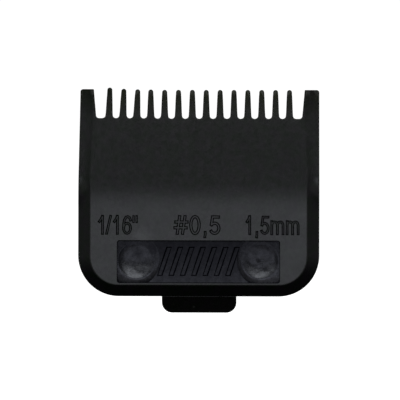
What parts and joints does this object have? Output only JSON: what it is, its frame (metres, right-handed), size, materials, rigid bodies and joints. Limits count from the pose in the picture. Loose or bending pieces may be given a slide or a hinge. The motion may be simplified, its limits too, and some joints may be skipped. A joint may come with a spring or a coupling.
{
  "type": "clipper guard comb",
  "caption": "Short guard comb for a hair clipper: slotted comb plate with a number panel, magnets behind round bosses and a sprung thumb clip that hooks on the blade.",
  "frame": {"origin": "centre of the blade seat, the flat land inside the comb that the clipper blade lies on", "axes": "+X to the right seen from the number panel, +Y out of the blade seat to the open side, +Z towards the tooth tips"},
  "size_m": [0.049, 0.0102, 0.0455],
  "materials": {
    "black_nylon": "fine moulded satin",
    "black_clip": "moulded satin",
    "nickel_plate": "nickel plated",
    "spring_steel": "drawn wire"
  },
  "bodies": {
    "comb": {"comb_body": "black_nylon", "magnet_left": "nickel_plate", "magnet_right": "nickel_plate", "hinge_pin": "spring_steel", "torsion_spring": "spring_steel"},
    "clip": {"clip_lever": "black_clip"}
  },
  "joints": [
    {"name": "clip_hinge", "type": "hinge", "parent": "comb", "child": "clip", "pos_m": [0, 0.00285, -0.0197], "axis": [-1, 0, 0], "range_deg": [0, 22], "stiffness_Nm_per_rad": 0.01, "springref_deg": -45.84, "deforming": ["torsion_spring"]}
  ]
}
